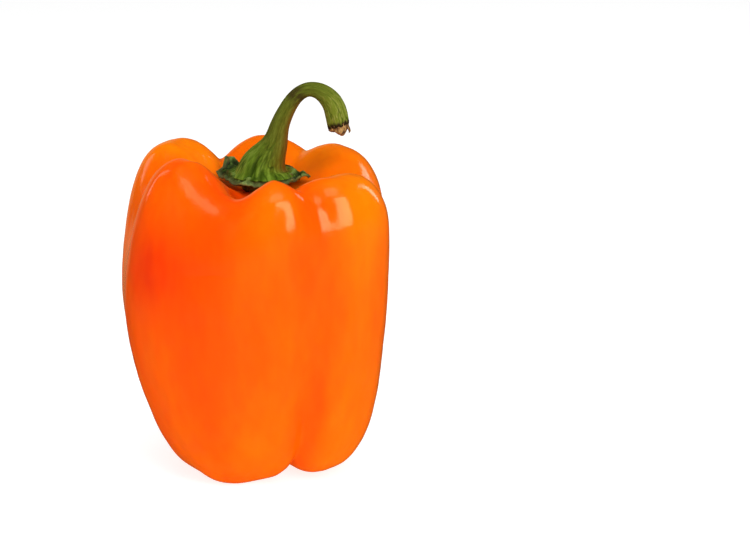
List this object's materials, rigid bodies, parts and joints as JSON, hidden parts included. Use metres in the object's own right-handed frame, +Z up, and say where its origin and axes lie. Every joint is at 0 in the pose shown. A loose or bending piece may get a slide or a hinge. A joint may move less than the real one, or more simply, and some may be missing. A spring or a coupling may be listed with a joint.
{
  "type": "bell pepper",
  "caption": "Whole orange bell pepper that stands on its lobed base, with glossy squared sides, a green calyx sunk in its hollow crown, and a hooked, ribbed stem with a torn end.",
  "frame": {"origin": "On the surface that the pepper stands on, below the middle of its bounding box.", "axes": "+Z points up along the fruit from its base to its stem, -Y is the side that faces the camera, and the stem hooks over towards +X."},
  "size_m": [0.0864, 0.084, 0.1249],
  "materials": {
    "skin": "smooth waxy gloss",
    "calyx_green": "dull, wrinkled",
    "stem_green": "dull, ribbed"
  },
  "bodies": {
    "root": {"fruit": "skin", "calyx": "calyx_green", "stem": "stem_green"}
  },
  "joints": []
}
